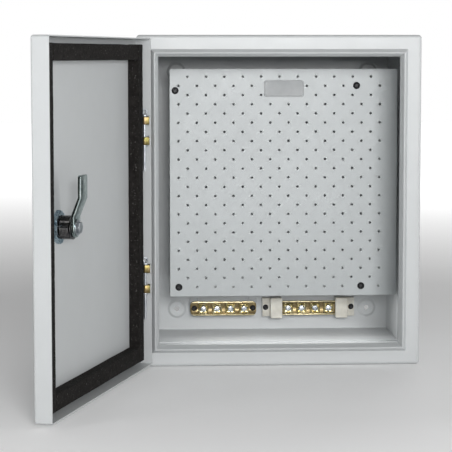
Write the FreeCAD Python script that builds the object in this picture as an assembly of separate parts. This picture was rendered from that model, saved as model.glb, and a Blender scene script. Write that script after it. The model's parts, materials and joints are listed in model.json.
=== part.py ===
"""Wall-mounting sheet-steel switchboard cabinet with an open hinged door.

Frame: origin at the centre of the back's outer face, +X to the right of a person facing the
cabinet, +Y from the front towards the wall, +Z up.  Millimetres.
"""
import FreeCAD, Part
import math
import os

V = FreeCAD.Vector
X_AXIS, Y_AXIS, Z_AXIS = V(1, 0, 0), V(0, 1, 0), V(0, 0, 1)

# ---- driving dimensions -------------------------------------------------------------------
width = 300.0                 # body, left to right
height = 350.0                # body, bottom to top
depth = 240.0                 # wall to the closed door's outer skin
sheet = 1.2                   # steel sheet
skin_to_rim = 19.5            # closed door's outer skin to the rim plane
rim_flat = 14.8               # flat rim round the opening
rim_edge_radius = 3.5         # rolled outer edge of the rim
lip_crest_inset = 18.2        # lip crest, from the body's side
lip_inner_inset = 22.7        # lip inner edge, from the body's side
lip_proud = 6.1               # crest in front of the rim plane
lip_return = 2.6              # inner edge behind the rim plane
lip_crest_chamfer = 0.5       # blunted crest
frame_length = 145.0          # front frame, rim to its rear edge
pan_start = 135.0             # rim to the pan's front edge
bend_radius = 2.4             # outside radius of the pan's bends

fixing_spacing_x = 227.0      # wall-fixing holes
fixing_spacing_z = 282.0
fixing_centre_x = 9.5
fixing_centre_z = -6.5
fixing_hole_radius = 2.75
dimple_radius = 10.0
dimple_depth = 1.5

plate_size = 256.0            # square mounting plate
plate_left = -113.5
plate_bottom = -117.5
plate_thickness = 1.2
plate_from_rim = 117.0        # rim plane to the plate's front face
hole_pitch = 20.6             # staggered perforation, pitch along a row
hole_radius = 1.4
hole_rows = 24
first_hole_x = -103.8
first_hole_z = 130.0
post_radius = 4.0
post_places = [(-107.4, 114.5), (96.4, 119.9), (-103.8, -107.1), (102.6, -106.9)]
label_width = 44.5
label_height = 19.0
label_centre = (14.6, 116.6)
label_thickness = 1.0

bar_centre_z = -145.4         # both terminal bars
bar_height = 16.6
bar_thickness = 2.0           # web of the channel-shaped bar
bar_lip = 3.2                 # channel's side lips, in front of the web
bar_wall = 1.4
bar_front_from_back = 14.0    # web's front face to the back's outer face
clamp_size = 11.6
clamp_depth = 4.0
clamp_pitch = 16.0
earth_left, earth_right = -88.4, -10.0
earth_first_clamp = -72.9
neutral_left, neutral_right = 18.0, 86.4
neutral_first_clamp = 27.6

door_gap = 3.5                # door edge inside the body's outline
door_flange = 17.5            # outer skin to the flange edge
door_open = 107.8             # opening angle shown
gasket_inset = 6.5            # door edge to the strips
gasket_width = 16.5
gasket_hinge_inset = 12.5     # hinge-side strip, clear of the hinges
gasket_hinge_width = 15.5
gasket_height = 11.8
gasket_joint = 0.4            # gap at the butt joints of the strips

pin_inset = 8.2               # hinge pin axis, from the body's side
pin_depth = 11.7              # hinge pin axis, from the door's outer skin
pin_radius = 1.3
pin_clearance = 0.05
knuckle_radius = 3.0
strap = 1.5                   # hinge leaf and bracket material
hinge_centres = {"upper": 75.4, "lower": -80.0}
hinge_half = 14.6             # hinge centre to the knuckles' outer ends
knuckle_length = 8.0
ear_gap = 0.4
bracket_edge = 2.2            # bracket's edge beyond the pin axis, clear of the door's bend
pin_tail = 42.0               # hinge centre to the pin's lower end
notch_gap = 1.0               # flange notch beyond each knuckle's ends

lock_from_edge = 58.0
lock_z = -2.0
barrel_radius = 11.0
barrel_end = 18.0             # outer skin to the barrel's inner end
nut_across_flats = 27.0
nut_thickness = 5.0
core_radius = 5.0
cam_thickness = 3.0
cam_width = 18.0
cam_reach = 48.0
cam_bend_start = 9.7
cam_bend_end = 27.0
cam_offset = 7.0
cam_bolt_across_flats = 10.0

# ---- derived places -----------------------------------------------------------------------
half_w, half_h = width / 2, height / 2
rim_y = -(depth - skin_to_rim)
skin_y = -depth
door_half_w, door_half_h = half_w - door_gap, half_h - door_gap
pin_x = -half_w + pin_inset
pin_y = skin_y + pin_depth
lock_x = door_half_w - lock_from_edge
plate_front = rim_y + plate_from_rim
plate_back = plate_front + plate_thickness
back_inner = -sheet
bar_front = -bar_front_from_back
bar_back = bar_front + bar_thickness


# ---- small helpers ------------------------------------------------------------------------
def box(x0, x1, y0, y1, z0, z1):
    return Part.makeBox(x1 - x0, y1 - y0, z1 - z0, V(x0, y0, z0))


def frame_box(inset, y0, y1):
    """A solid block with the body's outline, inset on all four sides."""
    return box(-half_w + inset, half_w - inset, y0, y1, -half_h + inset, half_h - inset)


def cylinder_y(x, z, y0, y1, radius):
    return Part.makeCylinder(radius, y1 - y0, V(x, y0, z), Y_AXIS)


def cylinder_z(x, y, z0, z1, radius):
    return Part.makeCylinder(radius, z1 - z0, V(x, y, z0), Z_AXIS)


def prism(points, direction):
    """A closed outline of 3-D points, extruded along a vector."""
    wire = Part.makePolygon([V(*p) for p in points] + [V(*points[0])])
    return Part.Face(wire).extrude(direction)


def frustum(half_x0, half_z0, y0, half_x1, half_z1, y1):
    """A rectangular block whose outline changes from y0 to y1."""
    outlines = []
    for hx, hz, y in ((half_x0, half_z0, y0), (half_x1, half_z1, y1)):
        corners = [V(-hx, y, -hz), V(hx, y, -hz), V(hx, y, hz), V(-hx, y, hz)]
        outlines.append(Part.makePolygon(corners + [corners[0]]))
    return Part.makeLoft(outlines, True, True)


def edges_along_y(shape, y_from, y_to):
    """Straight edges that run between two depths."""
    chosen = []
    for edge in shape.Edges:
        ys = sorted(v.Point.y for v in edge.Vertexes)
        if len(ys) == 2 and abs(ys[0] - y_from) < 0.01 and abs(ys[1] - y_to) < 0.01:
            chosen.append(edge)
    return chosen


def edges_at_y(shape, y):
    """Edges that lie wholly in the plane of one depth."""
    chosen = []
    for edge in shape.Edges:
        bounds = edge.BoundBox
        if abs(bounds.YMin - y) < 0.01 and abs(bounds.YMax - y) < 0.01:
            chosen.append(edge)
    return chosen


def rounded_block(shape, y_face, y_other, radius):
    """Round the four depth edges of a block and the rim of its face at y_face."""
    near, far = min(y_face, y_other), max(y_face, y_other)
    edges = edges_along_y(shape, near, far) + edges_at_y(shape, y_face)
    return shape.makeFillet(radius, edges)


def open_door(shape):
    """Turn a piece of the closed door to the opening angle shown."""
    turned = shape.copy()
    turned.rotate(V(pin_x, pin_y, 0), Z_AXIS, -door_open)
    return turned


def export(name, shapes):
    """Write one sub-part: a single solid or a group of separate solids."""
    solids = shapes if isinstance(shapes, list) else [shapes]
    single = []
    for solid in solids:
        single.extend(solid.Solids)
    result = single[0] if len(single) == 1 else Part.makeCompound(single)
    result.exportStep("parts/" + name + ".step")
    print(name, len(single), round(result.Volume, 1), result.isValid())


# ---- body ---------------------------------------------------------------------------------
def make_front_frame():
    """Rim with a rolled outer edge, a raised folded lip and the front part of the walls."""
    rear = rim_y + frame_length
    outer = rounded_block(frame_box(0, rim_y, rear), rim_y, rear, rim_edge_radius)
    inner = rounded_block(frame_box(sheet, rim_y + sheet, rear), rim_y + sheet, rear,
                          rim_edge_radius - sheet)
    opening = frame_box(rim_flat + sheet, rim_y - 1, rim_y + sheet + 1)
    walls = outer.cut(inner).cut(opening)
    crest_y = rim_y - lip_proud
    edge_y = rim_y + lip_return
    outer_leg = frustum(half_w - rim_flat, half_h - rim_flat, rim_y,
                        half_w - lip_crest_inset, half_h - lip_crest_inset, crest_y)
    outer_leg_core = frustum(half_w - rim_flat - sheet, half_h - rim_flat - sheet, rim_y,
                             half_w - lip_crest_inset - sheet, half_h - lip_crest_inset - sheet,
                             crest_y)
    inner_leg = frustum(half_w - lip_crest_inset, half_h - lip_crest_inset, crest_y,
                        half_w - lip_inner_inset + sheet, half_h - lip_inner_inset + sheet, edge_y)
    inner_leg_core = frustum(half_w - lip_crest_inset - sheet, half_h - lip_crest_inset - sheet,
                             crest_y, half_w - lip_inner_inset, half_h - lip_inner_inset, edge_y)
    lip = outer_leg.cut(outer_leg_core).fuse(inner_leg.cut(inner_leg_core))
    frame = walls.fuse(lip).removeSplitter()
    return frame.makeChamfer(lip_crest_chamfer, edges_at_y(frame, crest_y))


def fixing_places():
    places = []
    for side_x in (-1, 1):
        for side_z in (-1, 1):
            places.append((fixing_centre_x + side_x * fixing_spacing_x / 2,
                           fixing_centre_z + side_z * fixing_spacing_z / 2))
    return places


def make_rear_pan():
    """Back wall with four bent flaps and four dimpled wall-fixing holes."""
    front = rim_y + pan_start
    outer = rounded_block(frame_box(sheet, front, 0), 0, front, bend_radius)
    inner = rounded_block(frame_box(2 * sheet, front, back_inner), back_inner, front,
                          bend_radius - sheet)
    pan = outer.cut(inner)
    for x, z in fixing_places():
        boss = Part.makeCone(dimple_radius + sheet, dimple_radius - dimple_depth, dimple_depth,
                             V(x, back_inner, z), V(0, -1, 0))
        recess = Part.makeCone(dimple_radius, dimple_radius - dimple_depth - sheet, dimple_depth,
                               V(x, 0, z), V(0, -1, 0))
        hole = cylinder_y(x, z, -10, 1, fixing_hole_radius)
        pan = pan.fuse(boss).cut(recess).cut(hole)
    return pan


# ---- mounting plate -----------------------------------------------------------------------
def make_mounting_plate():
    """Square plate with staggered small holes, and four clearance holes for its screws."""
    plate = box(plate_left, plate_left + plate_size, plate_front, plate_back,
                plate_bottom, plate_bottom + plate_size)
    plate = plate.makeFillet(2.0, edges_along_y(plate, plate_front, plate_back))
    holes = []
    for row in range(hole_rows):
        columns = 12 if row % 2 else 11
        start = first_hole_x if row % 2 else first_hole_x + hole_pitch / 2
        z = first_hole_z - row * hole_pitch / 2
        for column in range(columns):
            x = start + column * hole_pitch
            blocked = any(math.hypot(x - px, z - pz) < post_radius + hole_radius + 0.5
                          for px, pz in post_places)
            if not blocked:
                holes.append(cylinder_y(x, z, plate_front - 1, plate_back + 1, hole_radius))
    for x, z in post_places:
        holes.append(cylinder_y(x, z, plate_front - 1, plate_back + 1, 2.1))
    return plate.cut(Part.makeCompound(holes))


def make_plate_posts():
    """Round posts welded to the back wall, drilled for the plate screws."""
    posts = []
    for x, z in post_places:
        post = cylinder_y(x, z, plate_back, back_inner, post_radius)
        posts.append(post.cut(cylinder_y(x, z, plate_back - 1, plate_back + 14, 2.0)))
    return posts


def dome_screw(x, z, face_y, head_radius, head_height, shank_radius, shank_length):
    """A round-head screw whose head stands in front of face_y."""
    sphere_radius = (head_radius ** 2 + head_height ** 2) / (2 * head_height)
    ball = Part.makeSphere(sphere_radius, V(x, face_y - head_height + sphere_radius, z))
    head = ball.common(cylinder_y(x, z, face_y - head_height - 1, face_y, head_radius))
    slot_half = head_radius * 0.55
    cross = box(x - slot_half, x + slot_half, face_y - head_height - 1,
                face_y - head_height * 0.45, z - 0.45, z + 0.45)
    cross = cross.fuse(box(x - 0.45, x + 0.45, face_y - head_height - 1,
                           face_y - head_height * 0.45, z - slot_half, z + slot_half))
    shank = cylinder_y(x, z, face_y, face_y + shank_length, shank_radius)
    return head.cut(cross).fuse(shank)


def make_plate_screws():
    return [dome_screw(x, z, plate_front, 4.0, 2.6, 1.95, 12.0) for x, z in post_places]


def make_name_plate():
    """Blank raised plate stuck on the mounting plate."""
    cx, cz = label_centre
    front = plate_front - label_thickness
    body = box(cx - label_width / 2, cx + label_width / 2, front, plate_front,
               cz - label_height / 2, cz + label_height / 2)
    return body.makeFillet(3.0, edges_along_y(body, front, plate_front))


# ---- terminal bars ------------------------------------------------------------------------
def rounded_bar(x0, x1, end_radius):
    """A shallow channel: a web with a low lip along each long side."""
    top, low = bar_centre_z + bar_height / 2, bar_centre_z - bar_height / 2
    lip_front = bar_front - bar_lip
    bar = box(x0, x1, lip_front, bar_back, low, top)
    if end_radius:
        bar = bar.makeFillet(end_radius, edges_along_y(bar, lip_front, bar_back))
    pocket = box(x0 - 1, x1 + 1, lip_front - 1, bar_front, low + bar_wall, top - bar_wall)
    return bar.cut(pocket)


def clamp_places(first):
    return [first + index * clamp_pitch for index in range(4)]


def make_bar(x0, x1, first_clamp, fixing_xs, end_radius):
    bar = rounded_bar(x0, x1, end_radius)
    for x in clamp_places(first_clamp):
        bar = bar.cut(cylinder_y(x, bar_centre_z, bar_front - 1, bar_back + 1, 2.0))
    for x in fixing_xs:
        bar = bar.cut(cylinder_y(x, bar_centre_z, bar_front - 1, bar_back + 1, 2.1))
    return bar


def make_clamps(first_clamp):
    """Square saddle clamps that press the conductors on the bar."""
    clamps = []
    for x in clamp_places(first_clamp):
        half = clamp_size / 2
        clamp = box(x - half, x + half, bar_front - clamp_depth, bar_front,
                    bar_centre_z - half, bar_centre_z + half)
        clamp = clamp.makeFillet(1.2, edges_along_y(clamp, bar_front - clamp_depth, bar_front))
        groove = box(x - half - 1, x + half + 1, bar_front - 1.6, bar_front + 1,
                     bar_centre_z + 2.6, bar_centre_z + 4.6)
        clamp = clamp.cut(groove)
        clamp = clamp.cut(cylinder_y(x, bar_centre_z, bar_front - 9, bar_front + 1, 2.05))
        clamps.append(clamp)
    return clamps


def make_clamp_screws(first_clamp):
    screws = []
    for x in clamp_places(first_clamp):
        face = bar_front - clamp_depth
        head = cylinder_y(x, bar_centre_z, face - 2.4, face, 3.4)
        head = head.makeChamfer(0.4, edges_at_y(head, face - 2.4))
        head = head.cut(box(x - 4, x + 4, face - 3, face - 1.2, bar_centre_z - 0.5,
                            bar_centre_z + 0.5))
        shank = cylinder_y(x, bar_centre_z, face, bar_back - 0.5, 1.95)
        screws.append(head.fuse(shank))
    return screws


earth_fixings = [earth_left + 4.6, earth_right - 4.2]
neutral_fixings = [1.4, 103.5]


def make_earth_standoffs():
    posts = []
    for x in earth_fixings:
        post = cylinder_y(x, bar_centre_z, bar_back, back_inner, 4.2)
        posts.append(post.cut(cylinder_y(x, bar_centre_z, bar_back - 1, back_inner - 1, 1.7)))
    return posts


def make_earth_fixing_screws():
    return [dome_screw(x, bar_centre_z, bar_front, 3.6, 2.3, 1.65, bar_thickness + 6)
            for x in earth_fixings]


def make_insulator(block_x0, block_x1, tab_x0, tab_x1, fixing_x, bar_edge):
    """Moulded support: a tall block that holds the bar's end, with a low fixing tab."""
    top, low = bar_centre_z + 12.2, bar_centre_z - 11.8
    front = bar_front - bar_lip - 2.6
    block = box(block_x0, block_x1, front, back_inner, low, top)
    block = block.makeFillet(1.6, edges_along_y(block, front, back_inner))
    block = block.makeFillet(0.8, edges_at_y(block, front))
    tab_half = 11.0
    tab = box(tab_x0, tab_x1, back_inner - 8.0, back_inner, bar_centre_z - tab_half,
              bar_centre_z + tab_half)
    body = block.fuse(tab).removeSplitter()
    body = body.cut(cylinder_y(fixing_x, bar_centre_z, -12, 1, 1.7))
    socket = box(min(bar_edge, block_x0 - 1), max(bar_edge, block_x1 + 1), bar_front - bar_lip,
                 bar_back, bar_centre_z - bar_height / 2, bar_centre_z + bar_height / 2)
    inside = socket.common(box(block_x0 + 3, block_x1 + 3, -50, 1, -300, 300))
    if bar_edge > block_x1:
        return body.cut(inside)
    return body.cut(socket.common(box(block_x0 - 3, block_x1 - 3, -50, 1, -300, 300)))


def make_neutral_fixing_screws():
    return [dome_screw(x, bar_centre_z, back_inner - 8.0, 3.6, 2.3, 1.65, 7.0)
            for x in neutral_fixings]


# ---- hinges -------------------------------------------------------------------------------
def knuckle_spans(centre):
    """Lower and upper end of the two knuckles of one hinge."""
    top = centre + hinge_half
    bottom = centre - hinge_half
    return [(bottom, bottom + knuckle_length), (top - knuckle_length, top)]


def make_hinge_leaf(centre):
    """Two straps welded on the rim beside the lip, each rolled round the pin."""
    post_x = pin_x + 3.7
    straps = []
    for z0, z1 in knuckle_spans(centre):
        rolled = cylinder_z(pin_x, pin_y, z0, z1, knuckle_radius)
        arm = box(pin_x, post_x + strap, pin_y - knuckle_radius,
                  pin_y - knuckle_radius + strap, z0, z1)
        leg = box(post_x, post_x + strap, pin_y - knuckle_radius, rim_y, z0, z1)
        foot = box(pin_x - 0.2, post_x + strap, rim_y - strap, rim_y, z0, z1)
        bent = rolled.fuse(arm).fuse(leg).fuse(foot)
        bent = bent.cut(cylinder_z(pin_x, pin_y, z0 - 1, z1 + 1, pin_radius + pin_clearance))
        straps.append(bent.removeSplitter())
    return straps


def make_hinge_bracket(centre):
    """U-shaped bracket on the inside of the door, an ear above and below the knuckles."""
    inner_skin = skin_y + sheet
    ear_inner = hinge_half + ear_gap
    ear_outer = ear_inner + strap
    base = box(pin_x - bracket_edge, pin_x + 6.0, inner_skin, inner_skin + strap,
               centre - ear_outer, centre + ear_outer)
    bracket = base
    for z0 in (centre - ear_outer, centre + ear_inner):
        ear = box(pin_x - bracket_edge, pin_x + 3.0, inner_skin, pin_y, z0, z0 + strap)
        ear = ear.fuse(cylinder_z(pin_x, pin_y, z0, z0 + strap, knuckle_radius))
        bracket = bracket.fuse(ear)
    bore = cylinder_z(pin_x, pin_y, centre - 30, centre + 30, pin_radius + pin_clearance)
    return open_door(bracket.cut(bore).removeSplitter())


def make_hinge_pin(centre):
    """Straight wire pin with a small finger loop at its upper end."""
    ring_radius = 2.3
    ring_wire = 0.9
    shoulder = centre + hinge_half + ear_gap + strap + ring_wire + 0.3
    wire = cylinder_z(pin_x, pin_y, centre - pin_tail, shoulder, pin_radius)
    ring = Part.makeTorus(ring_radius, ring_wire, V(pin_x, pin_y, shoulder + ring_radius), Y_AXIS)
    return wire.fuse(ring)


# ---- door ---------------------------------------------------------------------------------
def door_block(inset, y0, y1):
    return box(-door_half_w + inset, door_half_w - inset, y0, y1,
               -door_half_h + inset, door_half_h - inset)


def make_door_shell():
    """Flat skin with four flanges, notched at the hinges and bored for the lock."""
    edge_y = skin_y + door_flange
    outer = rounded_block(door_block(0, skin_y, edge_y), skin_y, edge_y, 2.5)
    inner = rounded_block(door_block(sheet, skin_y + sheet, edge_y), skin_y + sheet, edge_y, 1.3)
    shell = outer.cut(inner)
    for centre in hinge_centres.values():
        for z0, z1 in knuckle_spans(centre):
            notch = box(-door_half_w - 1, -door_half_w + sheet + 0.8, pin_y + 0.8, edge_y + 1,
                        z0 - notch_gap, z1 + notch_gap)
            shell = shell.cut(notch)
    hole = cylinder_y(lock_x, lock_z, skin_y - 1, skin_y + sheet + 1, barrel_radius + 0.2)
    return open_door(shell.cut(hole))


def gasket_strip(x0, x1, z0, z1):
    inner_skin = skin_y + sheet
    strip = box(x0, x1, inner_skin, inner_skin + gasket_height, z0, z1)
    return open_door(strip)


def make_gaskets():
    """Four foam strips glued inside the door; the upright strips run the full height."""
    x0 = -door_half_w + gasket_hinge_inset
    x1 = door_half_w - gasket_inset
    z0 = -door_half_h + gasket_inset
    z1 = door_half_h - gasket_inset
    inner_x0 = x0 + gasket_hinge_width + gasket_joint
    inner_x1 = x1 - gasket_width - gasket_joint
    return {
        "gasket_hinge_side": gasket_strip(x0, x0 + gasket_hinge_width, z0, z1),
        "gasket_lock_side": gasket_strip(x1 - gasket_width, x1, z0, z1),
        "gasket_top": gasket_strip(inner_x0, inner_x1, z1 - gasket_width, z1),
        "gasket_bottom": gasket_strip(inner_x0, inner_x1, z0, z0 + gasket_width),
    }


# ---- lock ---------------------------------------------------------------------------------
def make_lock_housing():
    """Threaded barrel with a collar on the outside of the door."""
    collar_front = skin_y - 5.0
    collar = cylinder_y(lock_x, lock_z, collar_front, skin_y - 1.0, 14.0)
    collar = collar.makeFillet(1.5, edges_at_y(collar, collar_front))
    barrel = cylinder_y(lock_x, lock_z, skin_y - 1.0, skin_y + barrel_end, barrel_radius)
    bore = cylinder_y(lock_x, lock_z, collar_front - 1, skin_y + barrel_end + 1,
                      core_radius + pin_clearance)
    mouth = cylinder_y(lock_x, lock_z, collar_front - 1, skin_y - 0.5, 8.0)
    return open_door(collar.fuse(barrel).cut(bore).cut(mouth).removeSplitter())


def make_lock_seal():
    """Thin rubber ring between the collar and the door."""
    ring = cylinder_y(lock_x, lock_z, skin_y - 1.0, skin_y, 13.2)
    return open_door(ring.cut(cylinder_y(lock_x, lock_z, skin_y - 2, skin_y + 1, barrel_radius)))


def make_lock_nut():
    corner = nut_across_flats / math.sqrt(3)
    y0 = skin_y + sheet
    points = []
    for index in range(6):
        angle = math.radians(60 * index + 30)
        points.append((lock_x + corner * math.cos(angle), y0, lock_z + corner * math.sin(angle)))
    nut = prism(points, V(0, nut_thickness, 0))
    crown = Part.makeCone(corner + 2.2, corner - 0.9, nut_thickness, V(lock_x, y0, lock_z), Y_AXIS)
    nut = nut.common(crown)
    hole = cylinder_y(lock_x, lock_z, y0 - 1, y0 + nut_thickness + 1, barrel_radius)
    return open_door(nut.cut(hole))


def make_lock_core():
    """Turning core: a double-bit key end in front and a square drive for the cam behind."""
    front = skin_y - 4.0
    y_end = skin_y + barrel_end
    shaft = cylinder_y(lock_x, lock_z, front + 3.5, y_end, core_radius)
    pin = cylinder_y(lock_x, lock_z, front, front + 3.6, 2.4)
    bit = box(lock_x - 4.6, lock_x + 4.6, front, front + 3.6, lock_z - 0.8, lock_z + 0.8)
    drive = box(lock_x - 3.5, lock_x + 3.5, y_end, y_end + cam_thickness, lock_z - 3.5, lock_z + 3.5)
    core = shaft.fuse(pin).fuse(bit).fuse(drive)
    core = core.cut(cylinder_y(lock_x, lock_z, y_end - 8, y_end + 10, 2.0))
    return open_door(core)


def make_cam_lever():
    """Flat cranked lever: round hub, sloped middle and a straight end."""
    y0 = skin_y + barrel_end
    y1 = y0 + cam_thickness
    half = cam_width / 2
    slope = cam_thickness * 0.35
    side = [(lock_x - half, y0, lock_z),
            (lock_x - half, y0, lock_z + cam_bend_start + slope),
            (lock_x - half, y0 + cam_offset, lock_z + cam_bend_end + slope),
            (lock_x - half, y0 + cam_offset, lock_z + cam_reach),
            (lock_x - half, y1 + cam_offset, lock_z + cam_reach),
            (lock_x - half, y1 + cam_offset, lock_z + cam_bend_end),
            (lock_x - half, y1, lock_z + cam_bend_start),
            (lock_x - half, y1, lock_z)]
    lever = prism(side, V(cam_width, 0, 0))
    outline = cylinder_y(lock_x, lock_z, y0 - 1, y1 + cam_offset + 1, half)
    outline = outline.fuse(box(lock_x - half, lock_x + half, y0 - 1, y1 + cam_offset + 1,
                               lock_z, lock_z + cam_reach))
    tip_edges = []
    for edge in outline.Edges:
        middle = edge.CenterOfMass
        along_y = abs(edge.BoundBox.YLength - (cam_thickness + cam_offset + 2)) < 0.01
        if along_y and abs(middle.z - (lock_z + cam_reach)) < 0.01:
            tip_edges.append(edge)
    outline = outline.makeFillet(2.5, tip_edges)
    hub = cylinder_y(lock_x, lock_z, y0, y1, half)
    lever = lever.fuse(hub).common(outline)
    socket = box(lock_x - 3.5, lock_x + 3.5, y0 - 1, y1 + 1, lock_z - 3.5, lock_z + 3.5)
    return open_door(lever.cut(socket).removeSplitter())


def make_cam_washer():
    y0 = skin_y + barrel_end + cam_thickness
    ring = cylinder_y(lock_x, lock_z, y0, y0 + 1.2, 7.2)
    return open_door(ring.cut(cylinder_y(lock_x, lock_z, y0 - 1, y0 + 3, 2.05)))


def make_cam_bolt():
    y0 = skin_y + barrel_end + cam_thickness + 1.2
    corner = cam_bolt_across_flats / math.sqrt(3)
    points = []
    for index in range(6):
        angle = math.radians(60 * index)
        points.append((lock_x + corner * math.cos(angle), y0, lock_z + corner * math.sin(angle)))
    head = prism(points, V(0, 2.6, 0))
    shank = cylinder_y(lock_x, lock_z, y0 - 11.0, y0, 1.95)
    return open_door(head.fuse(shank))


# ---- build --------------------------------------------------------------------------------
def main():
    os.makedirs("parts", exist_ok=True)
    export("front_frame", make_front_frame())
    export("rear_pan", make_rear_pan())
    export("mounting_plate", make_mounting_plate())
    export("plate_posts", make_plate_posts())
    export("plate_screws", make_plate_screws())
    export("name_plate", make_name_plate())
    export("earth_bar", make_bar(earth_left, earth_right, earth_first_clamp,
                                 earth_fixings, 5.0))
    export("earth_clamps", make_clamps(earth_first_clamp))
    export("earth_clamp_screws", make_clamp_screws(earth_first_clamp))
    export("earth_standoffs", make_earth_standoffs())
    export("earth_fixing_screws", make_earth_fixing_screws())
    export("neutral_bar", make_bar(neutral_left, neutral_right, neutral_first_clamp, [], 0))
    export("neutral_clamps", make_clamps(neutral_first_clamp))
    export("neutral_clamp_screws", make_clamp_screws(neutral_first_clamp))
    export("neutral_insulator_left", make_insulator(6.6, 20.6, -2.4, 6.6, neutral_fixings[0], 90.0))
    export("neutral_insulator_right",
           make_insulator(83.8, 98.4, 98.4, 107.4, neutral_fixings[1], 10.0))
    export("neutral_fixing_screws", make_neutral_fixing_screws())
    export("door_shell", make_door_shell())
    for name, strip in make_gaskets().items():
        export(name, strip)
    for place, centre in hinge_centres.items():
        export(place + "_hinge_leaf", make_hinge_leaf(centre))
        export(place + "_hinge_bracket", make_hinge_bracket(centre))
        export(place + "_hinge_pin", make_hinge_pin(centre))
    export("lock_housing", make_lock_housing())
    export("lock_seal", make_lock_seal())
    export("lock_nut", make_lock_nut())
    export("lock_core", make_lock_core())
    export("cam_lever", make_cam_lever())
    export("cam_washer", make_cam_washer())
    export("cam_bolt", make_cam_bolt())


main()
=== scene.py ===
"""Looks of a wall-mounting switchboard cabinet with an open door: finishes, foam gaskets,
hinges, lock, terminal bars, screws, studio floor, lights and camera.  Metres, +Z up."""
import json
import math

import bmesh
import bpy
from bpy.props import (FloatProperty, FloatVectorProperty, IntProperty, PointerProperty)
from mathutils import Matrix, Vector, noise


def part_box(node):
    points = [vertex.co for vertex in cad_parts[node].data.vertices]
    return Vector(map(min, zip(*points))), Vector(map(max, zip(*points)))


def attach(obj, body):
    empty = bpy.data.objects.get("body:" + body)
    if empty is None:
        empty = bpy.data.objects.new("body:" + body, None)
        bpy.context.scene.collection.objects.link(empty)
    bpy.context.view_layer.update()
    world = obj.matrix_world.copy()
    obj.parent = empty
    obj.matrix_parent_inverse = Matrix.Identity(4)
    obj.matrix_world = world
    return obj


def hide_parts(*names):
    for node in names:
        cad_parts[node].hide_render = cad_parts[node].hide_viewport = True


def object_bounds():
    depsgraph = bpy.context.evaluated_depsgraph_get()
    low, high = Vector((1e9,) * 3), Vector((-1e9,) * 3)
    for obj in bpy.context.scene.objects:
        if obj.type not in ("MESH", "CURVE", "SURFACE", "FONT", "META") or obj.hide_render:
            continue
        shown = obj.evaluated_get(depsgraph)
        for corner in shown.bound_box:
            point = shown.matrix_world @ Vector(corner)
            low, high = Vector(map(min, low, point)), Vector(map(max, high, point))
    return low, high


bl_info = {
    "name": "Switchboard cabinet looks",
    "version": (1, 0, 0),
    "blender": (4, 5, 0),
    "location": "3D View > Sidebar > Cabinet",
    "description": "Finishes and fine pieces for a sheet-steel switchboard cabinet",
    "category": "Object",
}

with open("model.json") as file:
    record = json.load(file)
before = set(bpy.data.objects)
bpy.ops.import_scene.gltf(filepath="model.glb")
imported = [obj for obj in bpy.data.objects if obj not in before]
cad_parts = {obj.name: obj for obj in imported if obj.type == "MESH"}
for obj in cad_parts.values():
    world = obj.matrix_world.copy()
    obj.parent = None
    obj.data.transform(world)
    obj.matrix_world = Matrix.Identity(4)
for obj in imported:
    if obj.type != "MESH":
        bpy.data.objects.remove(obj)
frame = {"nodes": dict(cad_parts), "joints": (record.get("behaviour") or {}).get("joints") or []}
CAD_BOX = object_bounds()
MM = 0.001
MICRON = 0.000001
AXIS = 0.0002 * MM             # radius that stands for the axis of a turned shape
SCREW_FACETS = 40
LOCK_FACETS = 96


# ---- places read from the frame -----------------------------------------------------------
def joint(name):
    for entry in frame["joints"]:
        if entry["name"] == name:
            return entry
    raise RuntimeError("the frame has no joint called " + name)


DOOR_PIN = Vector(joint("door_hinge")["pos_m"])
DOOR_ANGLE = -math.radians(min(joint("door_hinge")["range_deg"]))
LOCK_POINT = Vector(joint("cam_turn")["pos_m"])
DOOR_OPEN = (Matrix.Translation(DOOR_PIN) @ Matrix.Rotation(-DOOR_ANGLE, 4, "Z")
             @ Matrix.Translation(-DOOR_PIN))
DOOR_SHUT = DOOR_OPEN.inverted()


def corners(points):
    """Lowest and highest corner of the box round some points."""
    low = Vector([min(p[i] for p in points) for i in range(3)])
    high = Vector([max(p[i] for p in points) for i in range(3)])
    return low, high


def closed_box(node):
    """A door node's lowest and highest corner with the door turned back to closed."""
    return corners([DOOR_SHUT @ v.co for v in frame["nodes"][node].data.vertices])


def islands(node):
    """Centre, lowest and highest corner of each solid of a CAD node, from left to right."""
    copy = bmesh.new()
    copy.from_mesh(frame["nodes"][node].data)
    bmesh.ops.remove_doubles(copy, verts=copy.verts, dist=MICRON)
    seen, found = set(), []
    for start in copy.verts:
        if start in seen:
            continue
        stack, group = [start], []
        seen.add(start)
        while stack:
            vert = stack.pop()
            group.append(vert.co.copy())
            for edge in vert.link_edges:
                other = edge.other_vert(vert)
                if other not in seen:
                    seen.add(other)
                    stack.append(other)
        low, high = corners(group)
        found.append(((low + high) / 2, low, high))
    copy.free()
    return sorted(found, key=lambda solid: (round(solid[0].x, 4), solid[0].z))


# ---- finishes -----------------------------------------------------------------------------
def add_node(tree, kind, values=None, operation=None):
    """A new node with some inputs set; an input whose value is a socket is linked to it."""
    node = tree.nodes.new(kind)
    if operation:
        node.operation = operation
    for name, value in (values or {}).items():
        if isinstance(value, bpy.types.NodeSocket):
            tree.links.new(value, node.inputs[name])
        else:
            node.inputs[name].default_value = value
    return node


def map_range(tree, value, from_low, from_high, low, high):
    return add_node(tree, "ShaderNodeMapRange", {
        "Value": value, "From Min": from_low, "From Max": from_high, "To Min": low,
        "To Max": high}).outputs["Result"]


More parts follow.
